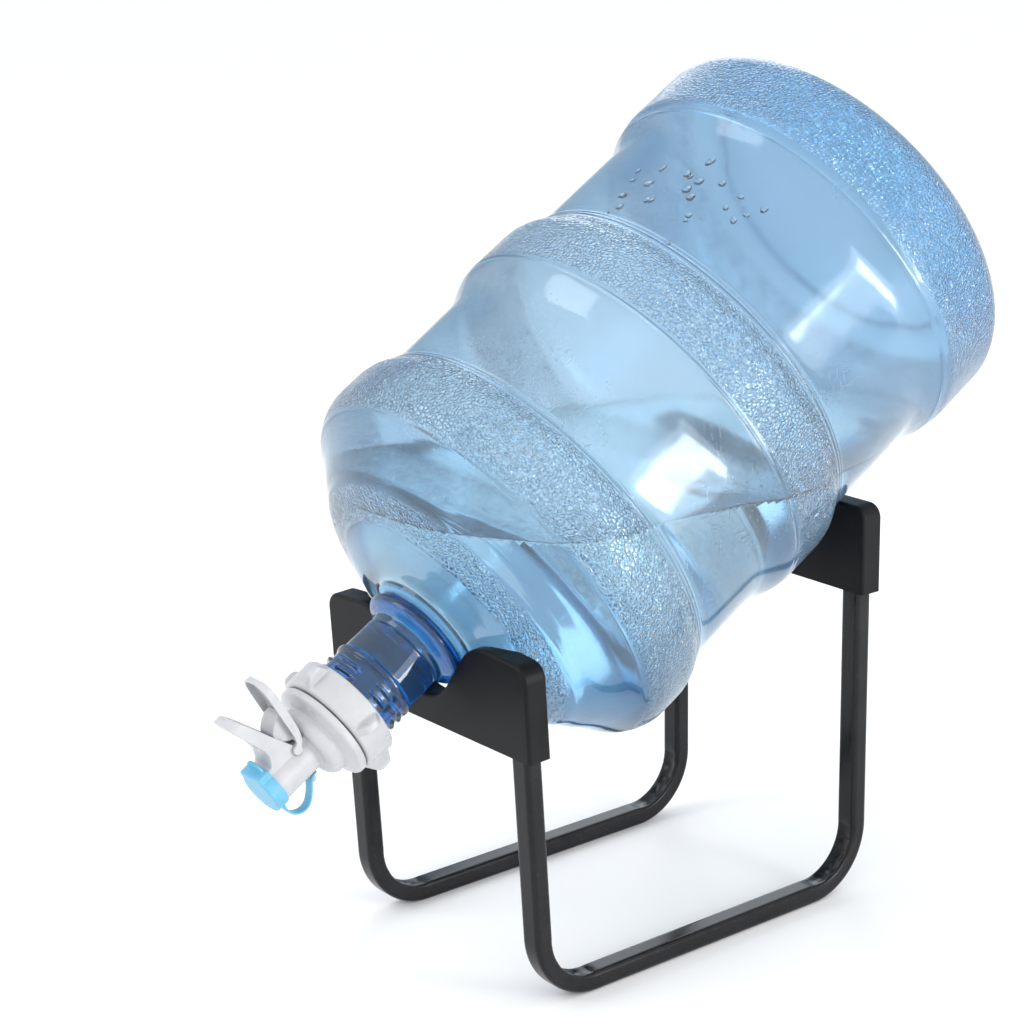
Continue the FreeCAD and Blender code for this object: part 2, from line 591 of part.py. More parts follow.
def trigger_lever():
    low = smooth([(13.8, 93.6), (17.0, 92.5), (22.0, 91.6), (30.0, 91.2), (40.0, 90.9), (50.0, 91.1), (57.0, 91.7), (59.4, 92.6)], 3)
    side = low + [(60.0, 93.6), (60.0, 96.2), (13.8, 96.5)]
    tray = side_plate(side, TRIGGER_HALF).common(plan_solid(TRIGGER_HALF, 12.0, 47.0, TRIGGER_TIP, 80, 110))
    t = 1.4
    hole = side_plate([(u, w + 1.3) for u, w in low if 16 < u < 58.6] + [(58.6, 99.0), (16.0, 99.0)], TRIGGER_HALF - t)
    hole = hole.common(plan_solid(TRIGGER_HALF - t, 18.0, 47.0, TRIGGER_TIP - t, 80, 110))
    tray = tray.cut(hole)
    # the root between the ears stays clear of the spout
    # quadrant web that slides up into the fixed lever
    arc = smooth([(34.4, 93.0), (33.9, 96.5), (32.0, 100.2), (29.6, 103.0), (27.2, 104.9), (24.0, 105.4)], 4)
    web = side_plate([(15.4, 93.0)] + arc + [(20.6, 104.2), (18.4, 101.4), (16.5, 98.6), (15.4, 97.0)], 6.7)
    body = tray.fuse(web)
    # ears that snap over the stub axles
    u, w = PIVOT
    for sx in (-1, 1):
        x0, x1 = (9.1, TRIGGER_HALF) if sx > 0 else (-TRIGGER_HALF, -9.1)
        disc = cyl_x(3.0, x0, x1, u, w)
        hullpts = [(u + 0.2, w - 3.0), (15.0, 93.0), (20.0, 92.2), (20.0, 96.4), (14.6, 97.2), (u + 1.6, w + 2.5), (u, w + 3.0), (u, w)]
        f = Part.Face(wire2(hullpts, "yz")).extrude(V(x1 - x0, 0, 0))
        f.translate(V(x0, 0, 0))
        body = body.fuse([disc, f])
    # inner finger
    finger = side_plate([(0, 97.4), (6.0, 97.5), (15.6, 97.0), (15.6, 100.4), (6.0, 100.5), (0, 100.6)], 2.3)
    tip = cyl_x(1.6, -2.3, 2.3, 0, 99.0)
    body = body.fuse([finger, tip])
    # blind bearing holes
    for sx in (-1, 1):
        body = body.cut(cyl_x(AXLE_R + 0.06, min(sx * 8.9, sx * 10.5), max(sx * 8.9, sx * 10.5), u, w))
    return to_world(one_solid(body, "trigger lever"))


def dust_cap():
    w0, w1 = CAP_W
    outer = cyl(CAP_R, w0, w1)
    pad = block(-10.0, 10.0, 3.0, CAP_R, w0, w1)
    outer = outer.fuse(pad).removeSplitter()
    top = [ed for ed in outer.Edges if min(v.Z for v in ed.Vertexes) > w1 - 0.01]
    ver = [ed for ed in outer.Edges if abs(ed.Vertexes[0].Z - ed.Vertexes[-1].Z) > 5 and min(v.Y for v in ed.Vertexes) > CAP_R - 0.5]
    try:
        outer = outer.makeFillet(1.0, ver)
        top = [ed for ed in outer.Edges if min(v.Z for v in ed.Vertexes) > w1 - 0.01]
        outer = outer.makeFillet(1.1, top)
    except Exception as err:
        print("note: cap edges left sharp:", err)
    tab = block(-7.2, 7.2, 12.0, 19.6, 121.2, 123.0).common(plan_solid(7.2, 10.0, 13.4, 19.6, 110, 140))
    outer = outer.fuse(tab)
    inner = cyl(TUBE_R + 0.2, w0 - 1, TUBE_END + 0.2).fuse(block(-FLAT_HALF - 0.2, FLAT_HALF + 0.2, 3.0, TUBE_R + 0.2, w0 - 1, TUBE_END + 0.2))
    return to_world(one_solid(outer.cut(inner), "dust cap"))


def cap_strap():
    mid = smooth([(-13.4, 121.6), (-16.0, 122.0), (-19.4, 122.1), (-23.6, 121.0), (-26.9, 118.2), (-28.8, 114.0), (-28.2, 109.6),
                  (-25.0, 105.6), (-20.4, 102.2), (-17.0, 99.9), (-15.6, 97.6), (-15.0, 94.6)], 5)
    a = offset_profile(mid, 0.6)
    b = offset_profile(mid, -0.6)
    s = side_plate(a + list(reversed(b)), 3.1)
    s = s.cut(cyl(CAP_R + 0.05, 110, 140))
    s = s.cut(Part.makeCylinder(1.5, 14.0, V(0, -12.0, 98.0), V(0, -1, 0)))
    return to_world(one_solid(s, "cap strap"))


def main():
    os.makedirs("parts", exist_ok=True)
    cut_in = jug_solid(SEAT_GAP + CRADLE_WALL + 0.2)
    cut_out = jug_solid(SEAT_GAP)
    z0, r1, alpha, length, r2, beta = NOTCH
    notch_in = (z0 - CRADLE_WALL, r1 + CRADLE_WALL, alpha, length, r2 - CRADLE_WALL, beta)
    a_f = math.radians(LEAN_FRONT)
    y_front = -LEG_Y - math.tan(a_f) * (FRONT_BOTTOM - TUBE_T / 2)
    a_r = math.radians(LEAN_REAR)
    y_rear = LEG_Y + math.tan(a_r) * (REAR_BOTTOM - TUBE_T / 2)
    nodes = {
        "side_frame_left": side_frame(-FRAME_X),
        "side_frame_right": side_frame(FRAME_X),
        "front_cradle": cradle("front cradle", CRADLE_HALF, FRONT_BOTTOM, FRONT_TOP, 10.0, NOTCH, notch_in, LEAN_FRONT, y_front, FRONT_TUBE_TOP, cut_out, cut_in),
        "rear_cradle": cradle("rear cradle", CRADLE_HALF, REAR_BOTTOM, REAR_TOP, 9.0, None, None, -LEAN_REAR, y_rear, REAR_TUBE_TOP, cut_out, cut_in),
        "jug_shell": jug_shell(),
        "water": water_solid(),
        "collar_nut": collar_nut(),
        "neck_gasket": neck_gasket(),
        "inlet_plate": inlet_plate(),
        "spring_retainer": spring_retainer(),
        "return_spring": return_spring(),
        "plunger": plunger(),
        "plunger_seal": plunger_seal(),
        "valve_body": valve_body(),
        "trigger_lever": trigger_lever(),
        "dust_cap": dust_cap(),
        "cap_strap": cap_strap(),
    }
    box = FreeCAD.BoundBox()
    for name, shape in nodes.items():
        shape.exportStep("parts/" + name + ".step")
        b = shape.optimalBoundingBox(False, False)
        box.add(b)
        print("%-18s vol %10.1f mm3  x %.1f..%.1f  y %.1f..%.1f  z %.1f..%.1f valid %s" % (
            name, shape.Volume, b.XMin, b.XMax, b.YMin, b.YMax, b.ZMin, b.ZMax, shape.isValid()))
    print("box x %.2f..%.2f y %.2f..%.2f z %.2f..%.2f  y middle %.3f" % (box.XMin, box.XMax, box.YMin, box.YMax, box.ZMin, box.ZMax, (box.YMin + box.YMax) / 2))


main()
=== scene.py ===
import math

import bmesh
import bpy
import numpy as np
from mathutils import Matrix, Vector

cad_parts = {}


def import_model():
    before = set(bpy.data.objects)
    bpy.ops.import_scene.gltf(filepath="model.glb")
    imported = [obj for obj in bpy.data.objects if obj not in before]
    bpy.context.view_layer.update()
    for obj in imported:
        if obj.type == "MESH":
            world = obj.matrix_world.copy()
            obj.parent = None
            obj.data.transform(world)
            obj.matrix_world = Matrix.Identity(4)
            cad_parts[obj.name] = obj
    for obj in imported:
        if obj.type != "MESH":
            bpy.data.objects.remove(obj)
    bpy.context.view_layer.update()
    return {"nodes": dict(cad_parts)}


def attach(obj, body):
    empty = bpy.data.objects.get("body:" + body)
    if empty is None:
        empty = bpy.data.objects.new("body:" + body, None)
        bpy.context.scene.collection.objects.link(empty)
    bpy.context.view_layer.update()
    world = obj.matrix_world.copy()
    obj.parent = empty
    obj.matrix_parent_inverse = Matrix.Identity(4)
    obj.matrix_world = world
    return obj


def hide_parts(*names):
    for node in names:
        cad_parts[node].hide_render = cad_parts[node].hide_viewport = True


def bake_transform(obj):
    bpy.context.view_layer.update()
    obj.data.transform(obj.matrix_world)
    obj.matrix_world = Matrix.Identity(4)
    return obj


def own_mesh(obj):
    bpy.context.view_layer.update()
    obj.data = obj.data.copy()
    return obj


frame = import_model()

NODES = frame["nodes"]
scene = bpy.context.scene

# ------------------------------------------------------------------ the jug's own frame, millimetres
Y0, Z0, TILT = -151.5 + 15.51, 210.8, math.radians(31.0)
SN, CS = math.sin(TILT), math.cos(TILT)


def world(x, u, w):
    """Across, towards the levers and outward along the axis, in mm, to metres in the object's frame."""
    x, u, w = np.broadcast_arrays(np.asarray(x, float), np.asarray(u, float), np.asarray(w, float))
    return np.stack([x, Y0 - SN * u - CS * w, Z0 + CS * u - SN * w], -1) / 1000.0


def smoothstep(a, b, v):
    t = np.clip((np.asarray(v, float) - a) / (b - a), 0, 1)
    return t * t * (3 - 2 * t)


# ------------------------------------------------------------------ mesh helpers
def make_mesh(name, co, quads=None, tris=None, smooth=True):
    me = bpy.data.meshes.new(name)
    parts = []
    n4 = n3 = 0
    if quads is not None and len(quads):
        n4 = len(quads)
        parts.append(np.asarray(quads).ravel())
    if tris is not None and len(tris):
        n3 = len(tris)
        parts.append(np.asarray(tris).ravel())
    loops = np.concatenate(parts).astype(np.int32)
    me.vertices.add(len(co))
    me.vertices.foreach_set("co", np.asarray(co, np.float32).ravel())
    me.loops.add(len(loops))
    me.loops.foreach_set("vertex_index", loops)
    me.polygons.add(n4 + n3)
    me.polygons.foreach_set("loop_start", np.concatenate([np.arange(n4) * 4, n4 * 4 + np.arange(n3) * 3]).astype(np.int32))
    me.polygons.foreach_set("use_smooth", np.full(n4 + n3, smooth))
    me.update(calc_edges=True)
    me.validate()
    return me


def add_object(name, me, mat=None):
    o = bpy.data.objects.new(name, me)
    scene.collection.objects.link(o)
    if mat is not None:
        me.materials.clear()
        me.materials.append(mat)
    return o


def outward(me):
    """Turns the faces so that a closed mesh has a positive volume."""
    bm = bmesh.new()
    bm.from_mesh(me)
    if bm.calc_volume(signed=True) < 0:
        bmesh.ops.reverse_faces(bm, faces=bm.faces)
    bm.to_mesh(me)
    bm.free()
    return me


def ring_faces(rows, n, loop=False):
    """Quads between successive rings of n points; loop joins the last ring to the first."""
    i = np.arange(rows if loop else rows - 1)[:, None]
    j = np.arange(n)[None, :]
    a = i * n + j
    b = i * n + (j + 1) % n
    c = ((i + 1) % rows) * n + (j + 1) % n
    d = ((i + 1) % rows) * n + j
    return np.stack([a, b, c, d], -1).reshape(-1, 4)


def dense(points, step=0.2):
    p = np.array(points, float)
    length = np.r_[0, np.cumsum(np.hypot(*np.diff(p, axis=0).T))]
    t = np.linspace(0, length[-1], int(length[-1] / step) + 1)
    return np.c_[np.interp(t, length, p[:, 0]), np.interp(t, length, p[:, 1])]


def blurred(q, sigma):
    """A curve softened along its length; its ends stay where they are."""
    half = int(3 * sigma) + 1
    k = np.exp(-0.5 * (np.arange(-half, half + 1) / sigma) ** 2)
    k /= k.sum()
    pre = 2 * q[0] - q[half:0:-1]
    post = 2 * q[-1] - q[-2 : -half - 2 : -1]
    full = np.vstack([pre, q, post])
    return np.stack([np.convolve(full[:, c], k, "valid") for c in range(q.shape[1])], -1)


def thinned(q, step_of, turn=8.0):
    """Rows along a dense curve: step_of(q) mm apart, and closer where it turns."""
    d = np.gradient(q, axis=0)
    length = np.hypot(d[:, 0], d[:, 1])
    ang = np.unwrap(np.arctan2(d[:, 1], d[:, 0]))
    curv = np.abs(np.gradient(ang)) / np.maximum(length, 1e-9)
    curv = np.convolve(np.pad(curv, 4, "edge"), np.ones(9) / 9, "valid")
    step = np.minimum(step_of(q), math.radians(turn) / np.maximum(curv, 1e-6))
    step = np.maximum(step, 0.25)
    total = np.r_[0, np.cumsum(0.5 * (1 / step[1:] + 1 / step[:-1]) * np.hypot(*np.diff(q, axis=0).T))]
    at = np.linspace(0, total[-1], int(total[-1]) + 2)
    return np.stack([np.interp(at, total, q[:, c]) for c in range(q.shape[1])], -1)


# ------------------------------------------------------------------ material helpers
def new_material(name):
    m = bpy.data.materials.new(name)
    m.use_nodes = True
    nt = m.node_tree
    return m, nt, nt.nodes["Principled BSDF"]


class Tree:
    """Short names for building a node tree."""

    def __init__(self, nt):
        self.nt = nt

    def node(self, kind, **props):
        n = self.nt.nodes.new(kind)
        for k, v in props.items():
            setattr(n, k, v)
        return n

    def link(self, a, b):
        self.nt.links.new(a, b)

    def coords(self):
        return self.node("ShaderNodeTexCoord").outputs["Object"]

    def scaled(self, vec, s):
        m = self.node("ShaderNodeMapping")
        m.inputs["Scale"].default_value = s if hasattr(s, "__len__") else (s, s, s)
        self.link(vec, m.inputs["Vector"])
        return m.outputs["Vector"]

    def noise(self, vec, scale, detail=3.0, rough=0.55):
        n = self.node("ShaderNodeTexNoise")
        n.inputs["Scale"].default_value = scale
        n.inputs["Detail"].default_value = detail
        n.inputs["Roughness"].default_value = rough
        self.link(vec, n.inputs["Vector"])
        return n.outputs["Fac"]

    def voronoi(self, vec, scale, feature="F1", out="Distance", smooth=None):
        n = self.node("ShaderNodeTexVoronoi", feature=feature)
        n.inputs["Scale"].default_value = scale
        if smooth is not None and "Smoothness" in n.inputs:
            n.inputs["Smoothness"].default_value = smooth
        self.link(vec, n.inputs["Vector"])
        return n.outputs[out]

    def remap(self, v, a, b, c, d, clamp=True):
        n = self.node("ShaderNodeMapRange", clamp=clamp)
        for i, x in enumerate((a, b, c, d)):
            n.inputs[i + 1].default_value = x
        self.link(v, n.inputs[0])
        return n.outputs[0]

    def math(self, op, a, b=None):
        n = self.node("ShaderNodeMath", operation=op)
        for i, x in enumerate((a, b)):
            if x is None:
                continue
            if isinstance(x, (int, float)):
                n.inputs[i].default_value = x
            else:
                self.link(x, n.inputs[i])
        return n.outputs[0]

    def mix(self, fac, a, b):
        n = self.node("ShaderNodeMix", data_type="RGBA")
        if isinstance(fac, (int, float)):
            n.inputs["Factor"].default_value = fac
        else:
            self.link(fac, n.inputs["Factor"])
        for s, x in ((6, a), (7, b)):
            if isinstance(x, tuple):
                n.inputs[s].default_value = (*x, 1.0)
            else:
                self.link(x, n.inputs[s])
        return n.outputs[2]

    def bump(self, height, strength, dist, normal=None):
        n = self.node("ShaderNodeBump")
        n.inputs["Strength"].default_value = strength
        n.inputs["Distance"].default_value = dist
        self.link(height, n.inputs["Height"])
        if normal is not None:
            self.link(normal, n.inputs["Normal"])
        return n.outputs["Normal"]

    def attribute(self, name):
        return self.node("ShaderNodeAttribute", attribute_name=name).outputs["Fac"]


# ------------------------------------------------------------------ materials
def jug_plastic():
    m, nt, p = new_material("jug_polycarbonate")
    t = Tree(nt)
    co = t.coords()
    peb = t.attribute("pebble")
    # moulded cell texture: domes with narrow valleys, sizes a little uneven
    wob = t.node("ShaderNodeTexNoise")
    wob.inputs["Scale"].default_value = 160.0
    wob.inputs["Detail"].default_value = 1.0
    t.link(co, wob.inputs["Vector"])
    add = t.node("ShaderNodeMix", data_type="VECTOR")
    add.inputs["Factor"].default_value = 0.0038
    t.link(co, add.inputs[4])
    t.link(wob.outputs["Color"], add.inputs[5])
    edge = t.voronoi(add.outputs[1], 410.0, "DISTANCE_TO_EDGE")
    cell = t.remap(edge, 0.0, 0.24, 0.0, 1.0)
    cells = t.math("MULTIPLY", cell, peb)
    # long scratches on the smooth wall
    s1 = t.noise(t.scaled(co, (190.0, 8.0, 66.0)), 6.0, 1.0, 0.5)
    s2 = t.noise(t.scaled(co, (44.0, 180.0, 9.0)), 6.0, 1.0, 0.5)
    scr = t.math("MAXIMUM", t.remap(s1, 0.64, 0.72, 0.0, 1.0), t.remap(s2, 0.66, 0.74, 0.0, 1.0))
    where = t.remap(t.noise(co, 9.0, 2.0), 0.47, 0.62, 0.0, 1.0)
    scr = t.math("MULTIPLY", scr, where)
    scr = t.math("MULTIPLY", scr, t.attribute("smooth_wall"))
    waves = t.noise(co, 22.0, 2.0)
    n1 = t.bump(waves, 0.25, 0.0016)
    n2 = t.bump(cells, 0.95, 0.00046, n1)
    n3 = t.bump(scr, 0.40, 0.00005, n2)
    # mist on the inside above the water: fine beads, uneven in places
    mist = t.attribute("mist")
    patchy = t.remap(t.noise(co, 16.0, 3.0), 0.32, 0.68, 0.65, 1.0)
    mist = t.math("MULTIPLY", mist, patchy)
    t.link(n3, p.inputs["Normal"])
    rough = t.math("ADD", t.remap(t.noise(co, 40.0, 3.0), 0.3, 0.7, 0.015, 0.04), t.math("MULTIPLY", peb, 0.035))
    rough = t.math("ADD", rough, t.math("MULTIPLY", scr, 0.30))
    rough = t.math("ADD", rough, t.math("MULTIPLY", mist, 0.07))
    rough = t.math("ADD", rough, t.math("MULTIPLY", t.attribute("smooth_wall"), 0.075))
    t.link(rough, p.inputs["Roughness"])
    # the wall is thicker at the neck and the base end, where the blue is deeper
    tint = t.mix(t.remap(t.noise(co, 6.0, 2.0), 0.3, 0.7, 0.0, 1.0), (0.880, 0.890, 0.897), (0.910, 0.918, 0.925))
    deep = t.mix(t.remap(t.noise(co, 9.0, 2.0), 0.3, 0.7, 0.0, 1.0), (0.30, 0.64, 0.87), (0.37, 0.69, 0.90))
    # painted sheen: the pebbled bands get a lighter, whiter tint in place of the light their texture catches from all
    # sides
    tint = t.mix(peb, tint, (0.965, 0.972, 0.978))
    t.link(t.mix(t.attribute("deep"), tint, deep), p.inputs["Base Color"])
    p.inputs["Transmission Weight"].default_value = 0.965
    p.inputs["IOR"].default_value = 1.56
    v = t.node("ShaderNodeVolumeAbsorption")
    v.inputs["Color"].default_value = (0.0, 0.50, 0.80, 1.0)
    v.inputs["Density"].default_value = 270.0
    t.link(v.outputs[0], nt.nodes["Material Output"].inputs["Volume"])
    return m


def water_material():
    m, nt, p = new_material("clear_water")
    t = Tree(nt)
    co = t.coords()
    n1 = t.bump(t.noise(co, 14.0, 2.0), 0.12, 0.002)
    t.link(n1, p.inputs["Normal"])
    tint = t.mix(t.remap(t.noise(co, 5.0, 2.0), 0.3, 0.7, 0.0, 1.0), (0.87, 0.99, 1.0), (0.91, 1.0, 1.0))
    t.link(tint, p.inputs["Base Color"])
    p.inputs["Roughness"].default_value = 0.0
    p.inputs["Transmission Weight"].default_value = 1.0
    p.inputs["IOR"].default_value = 1.333
    return m


def droplet_material():
    m, nt, p = new_material("droplet_water")
    t = Tree(nt)
    co = t.coords()
    t.link(t.bump(t.noise(co, 300.0, 2.0), 0.10, 0.0002), p.inputs["Normal"])
    t.link(t.mix(t.remap(t.noise(co, 30.0, 2.0), 0.3, 0.7, 0.0, 1.0), (0.95, 0.97, 0.98), (0.98, 0.99, 1.0)), p.inputs["Base Color"])
    t.link(t.remap(t.noise(co, 120.0, 2.0), 0.3, 0.7, 0.02, 0.07), p.inputs["Roughness"])
    p.inputs["Transmission Weight"].default_value = 1.0
    p.inputs["IOR"].default_value = 1.333
    return m


def gloss_paint():
    m, nt, p = new_material("frame_gloss_paint")
    t = Tree(nt)
    co = t.coords()
    peel = t.noise(co, 700.0, 2.0)
    slow = t.noise(co, 60.0, 3.0)
    n1 = t.bump(peel, 0.12, 0.0002)
    n2 = t.bump(slow, 0.15, 0.0006, n1)
    t.link(n2, p.inputs["Normal"])
    col = t.mix(t.remap(slow, 0.35, 0.65, 0.0, 1.0), (0.0065, 0.0068, 0.0078), (0.0105, 0.011, 0.0125))
    dust = t.remap(t.voronoi(co, 420.0, "F1"), 0.0, 0.075, 1.0, 0.0)
    col = t.mix(t.math("MULTIPLY", dust, 0.10), col, (0.12, 0.12, 0.13))
    t.link(col, p.inputs["Base Color"])
    t.link(t.remap(slow, 0.3, 0.7, 0.17, 0.27), p.inputs["Roughness"])
    p.inputs["Specular IOR Level"].default_value = 0.22
    p.inputs["Coat Weight"].default_value = 0.08
    p.inputs["Coat Roughness"].default_value = 0.12
    return m


def cradle_plastic():
    m, nt, p = new_material("cradle_satin_black")
    t = Tree(nt)
    co = t.coords()
    grain = t.noise(co, 1500.0, 2.0)
    slow = t.noise(co, 38.0, 4.0)
    n1 = t.bump(grain, 0.16, 0.00012)
    n2 = t.bump(slow, 0.10, 0.0008, n1)
    t.link(n2, p.inputs["Normal"])
    col = t.mix(t.remap(slow, 0.3, 0.7, 0.0, 1.0), (0.0060, 0.0062, 0.0068), (0.0115, 0.0117, 0.0126))
    t.link(col, p.inputs["Base Color"])
    t.link(t.remap(slow, 0.3, 0.7, 0.34, 0.46), p.inputs["Roughness"])
    p.inputs["Specular IOR Level"].default_value = 0.14
    return m


def moulded_plastic(name, dark, light, rough, sss, sss_radius, spec=0.45):
    m, nt, p = new_material(name)
    t = Tree(nt)
    co = t.coords()
    slow = t.noise(co, 90.0, 3.0)
    fine = t.noise(co, 1800.0, 2.0)
    n1 = t.bump(fine, 0.07, 0.0001)
    n2 = t.bump(slow, 0.12, 0.0004, n1)
    t.link(n2, p.inputs["Normal"])
    t.link(t.mix(t.remap(slow, 0.3, 0.7, 0.0, 1.0), dark, light), p.inputs["Base Color"])
    t.link(t.remap(slow, 0.3, 0.7, rough[0], rough[1]), p.inputs["Roughness"])
    p.inputs["Specular IOR Level"].default_value = spec
    p.inputs["Subsurface Weight"].default_value = sss
    p.inputs["Subsurface Radius"].default_value = sss_radius
    p.inputs["Subsurface Scale"].default_value = 0.002
    return m


def rubber():
    m, nt, p = new_material("seal_silicone")
    t = Tree(nt)
    co = t.coords()
    slow = t.noise(co, 200.0, 3.0)
    t.link(t.bump(t.noise(co, 2500.0, 2.0), 0.25, 0.0001), p.inputs["Normal"])
    t.link(t.mix(t.remap(slow, 0.3, 0.7, 0.0, 1.0), (0.42, 0.43, 0.44), (0.56, 0.57, 0.58)), p.inputs["Base Color"])
    t.link(t.remap(slow, 0.3, 0.7, 0.45, 0.62), p.inputs["Roughness"])
    return m


def steel():
    m, nt, p = new_material("spring_stainless")
    t = Tree(nt)
    co = t.coords()
    lines = t.noise(t.scaled(co, (1.0, 1.0, 0.1)), 3000.0, 2.0)
    t.link(t.bump(lines, 0.1, 0.00005), p.inputs["Normal"])
    t.link(t.mix(lines, (0.52, 0.53, 0.55), (0.68, 0.69, 0.70)), p.inputs["Base Color"])
    t.link(t.remap(lines, 0.3, 0.7, 0.16, 0.30), p.inputs["Roughness"])
    p.inputs["Metallic"].default_value = 1.0
    return m


def floor_material():
    m, nt, p = new_material("studio_floor")
    t = Tree(nt)
    co = t.coords()
    t.link(t.mix(t.noise(co, 1.4, 2.0), (0.972, 0.972, 0.973), (0.982, 0.982, 0.982)), p.inputs["Base Color"])
    p.inputs["Roughness"].default_value = 0.62
    p.inputs["Specular IOR Level"].default_value = 0.15
    return m


M_JUG = jug_plastic()
M_WATER = water_material()
M_DROP = droplet_material()
M_PAINT = gloss_paint()
M_CRADLE = cradle_plastic()
M_WHITE = moulded_plastic("valve_white_pp", (0.485, 0.49, 0.51), (0.535, 0.54, 0.56), (0.26, 0.36), 0.10, (1.0, 0.95, 0.9))
M_BLUE = moulded_plastic("cap_sky_blue", (0.115, 0.405, 0.60), (0.155, 0.455, 0.65), (0.30, 0.42), 0.10, (0.4, 0.8, 1.0))
M_SEAL = rubber()
M_STEEL = steel()

# ------------------------------------------------------------------ jug
OUTER = [(-66.0, 24.8), (-65.3, 25.6), (-63.5, 26.0), (-37.4, 26.0), (-36.8, 26.9), (-36.0, 27.5), (-33.8, 27.5),
         (-33.0, 26.9), (-32.2, 26.0), (-11.2, 26.0), (-10.4, 25.5), (-9.4, 25.5), (-8.6, 26.0), (-5.2, 26.4),
         (-4.0, 28.8), (-2.8, 32.0), (-1.2, 33.9), (0.8, 34.5), (2.8, 34.1), (4.4, 33.0), (5.8, 32.2), (7.0, 33.2),
         (8.2, 35.4), (9.6, 36.4), (11.2, 37.0), (12.2, 40.0), (13.0, 45.5), (13.8, 51.0), (15.0, 57.0), (17.2, 64.5),
         (20.0, 71.6), (23.0, 79.2), (26.0, 86.4), (28.8, 92.8), (31.0, 97.4), (32.4, 98.6), (34.0, 99.8),
         (36.4, 103.0), (40.0, 107.6), (44.0, 112.0), (47.0, 115.4), (50.0, 119.0), (53.0, 123.2), (55.8, 127.0),
         (58.6, 129.8), (62.0, 131.8), (66.0, 133.6), (70.0, 134.7), (74.0, 135.0), (90.0, 135.0), (95.0, 134.2),
         (100.0, 132.2), (104.0, 129.8), (108.0, 127.7), (112.0, 126.6), (118.0, 126.2), (140.0, 126.2),
         (162.0, 126.3), (168.0, 126.9), (173.0, 128.2), (178.0, 130.4), (183.0, 132.8), (187.0, 134.4),
         (190.5, 135.0), (222.0, 135.0), (227.0, 134.0), (232.0, 131.6), (238.0, 128.4), (243.0, 126.6),
         (248.0, 126.0), (282.0, 126.0), (316.0, 126.0), (322.0, 126.6), (328.0, 128.6), (334.0, 131.4),
         (340.0, 134.0), (345.0, 135.0), (384.0, 135.0), (388.5, 133.6), (393.0, 130.8), (397.0, 127.0),
         (401.0, 121.8), (404.6, 115.8), (407.4, 111.0), (409.4, 106.6), (410.0, 103.0), (409.2, 99.0), (406.0, 95.0),
         (401.6, 91.6), (398.6, 86.0), (397.0, 76.0), (396.2, 60.0), (396.0, 0.0)]
NECK_IN = [(-66.0, 22.8), (-65.0, 22.2), (-30.0, 22.2), (-6.0, 22.6), (2.0, 25.6), (7.0, 29.8), (11.0, 35.2),
           (13.4, 41.0), (14.6, 46.0), (15.4, 51.6), (16.6, 57.8), (18.7, 64.9)]
WALL = 1.5
WATER_Z = 290.5

raw = dense(OUTER)
soft_neck, soft_body = blurred(raw, 0.45 / 0.2), blurred(raw, 1.6 / 0.2)
k = smoothstep(9.0, 16.0, raw[:, 0])[:, None]
outer_curve = soft_neck * (1 - k) + soft_body * k
outer_curve[:, 1] = np.clip(outer_curve[:, 1], 0, 135.0)
# thin rims where the textured bands end
RIMS = ((106.5, 0.55, 0.9), (109.8, 0.25, 0.7), (240.5, 0.55, 0.9), (243.8, 0.25, 0.7), (337.0, 0.40, 0.9), (57.0, 0.30, 0.8), (190.0, -0.35, 0.9))
for at, high, wide in RIMS:
    outer_curve[:, 1] += high * np.exp(-((outer_curve[:, 0] - at) / wide) ** 2) * (outer_curve[:, 1] > 110)
outer_curve[:, 1] = np.minimum(outer_curve[:, 1], 135.0)


def offset(q, dist):
    d = np.gradient(q, axis=0)
    n = np.c_[d[:, 1], -d[:, 0]] / np.hypot(d[:, 0], d[:, 1])[:, None]
    return q + n * dist


skin = offset(outer_curve, WALL)
skin = skin[(skin[:, 0] > 20.0) & (outer_curve[:, 0] > 18.0)]
skin[:, 1] = np.maximum(skin[:, 1], 0.0)
skin[-1, 1] = 0.0
inner_curve = blurred(dense(np.vstack([np.array(NECK_IN), skin])), 1.0 / 0.2)

N = 384
theta = np.arange(N) * 2 * math.pi / N


def lug_height(s, th):
    """Interrupted thread of the neck: short lugs, six a turn, on a right-handed helix of 6 mm pitch."""
    h = np.zeros(np.broadcast(s, th).shape)
    for i in range(-24, 5):
        w = 60.0 + i
        if w < 40.5:
            continue
        mid = math.radians(15.0 + 60.0 * i)
        d = np.degrees(np.abs((th - mid + math.pi) % (2 * math.pi) - math.pi))
        across = np.clip((1.1 + 0.1 - np.abs(-s - w)) / 0.62, 0, 1)
        along = np.clip((15.0 - d) / 2.2, 0, 1)
        h = np.maximum(h, 1.7 * across * along)
    return h


rows_out = thinned(outer_curve, lambda q: np.where(q[:, 0] < -38.0, 0.55, np.where(q[:, 0] < 14.0, 0.9, 2.8)))
rows_in = thinned(inner_curve, lambda q: np.where(q[:, 0] < 14.0, 2.0, 4.0), 10.0)

# inner skin from the middle of the base to the mouth, then the outer skin back
prof = np.vstack([rows_in[::-1], rows_out])
is_out = np.r_[np.zeros(len(rows_in)), np.ones(len(rows_out))]
prof_rows, out_rows = prof[1:-1], is_out[1:-1]
S, TH = prof_rows[:, :1], theta[None, :]
R = prof_rows[:, 1:2] + out_rows[:, None] * lug_height(S, TH) * (S < -38.4)
